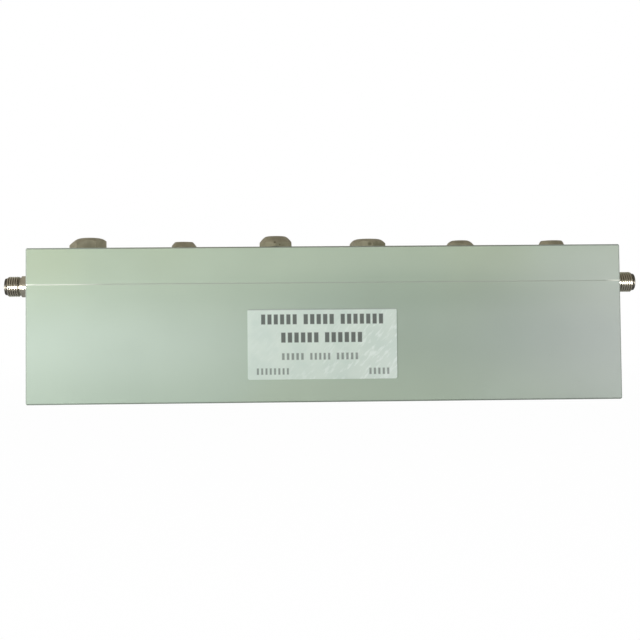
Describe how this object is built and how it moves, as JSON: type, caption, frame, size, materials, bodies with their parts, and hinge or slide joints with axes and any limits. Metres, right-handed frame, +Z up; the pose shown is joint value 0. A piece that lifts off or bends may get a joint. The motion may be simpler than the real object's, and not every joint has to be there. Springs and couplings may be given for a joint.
{
  "type": "bandstop filter",
  "caption": "Long painted cavity filter with a thick cover, hex-headed tuning screws along its top, a threaded coaxial jack at each end and a bare foil label on the front.",
  "frame": {"origin": "centre of the bottom face", "axes": "+X along the length towards the right-hand jack, +Y from the labelled face to the back, +Z up towards the tuning screws"},
  "size_m": [0.199, 0.0382, 0.052],
  "materials": {
    "housing_paint": "pale grey-green satin paint",
    "label_foil": "satin foil",
    "dull_nickel": "dull plated, slightly worn",
    "jack_nickel": "dull plated",
    "screw_steel": "plain steel",
    "silver_plate": "silver plated",
    "gold_plate": "gold plated",
    "white_plastic": "plain white"
  },
  "bodies": {
    "root": {"cavity_block": "housing_paint", "cover_block": "housing_paint", "label": "label_foil", "main_line": "silver_plate", "post_screws": "screw_steel", "cover_screws": "screw_steel", "line_bead_1": "white_plastic", "line_bead_2": "white_plastic", "line_bead_3": "white_plastic", "coupling_probe_1": "gold_plate", "coupling_probe_2": "gold_plate", "coupling_probe_3": "gold_plate", "coupling_probe_4": "gold_plate", "coupling_probe_5": "gold_plate", "coupling_probe_6": "gold_plate", "resonator_post_1": "silver_plate", "resonator_post_2": "silver_plate", "resonator_post_3": "silver_plate", "resonator_post_4": "silver_plate", "resonator_post_5": "silver_plate", "resonator_post_6": "silver_plate", "tuning_screw_1": "dull_nickel", "tuning_screw_2": "dull_nickel", "tuning_screw_3": "dull_nickel", "tuning_screw_4": "dull_nickel", "tuning_screw_5": "dull_nickel", "tuning_screw_6": "dull_nickel", "jack_body_left": "jack_nickel", "jack_insulator_left": "white_plastic", "jack_contact_left": "gold_plate", "jack_screws_left": "screw_steel", "jack_body_right": "jack_nickel", "jack_insulator_right": "white_plastic", "jack_contact_right": "gold_plate", "jack_screws_right": "screw_steel"}
  },
  "joints": []
}
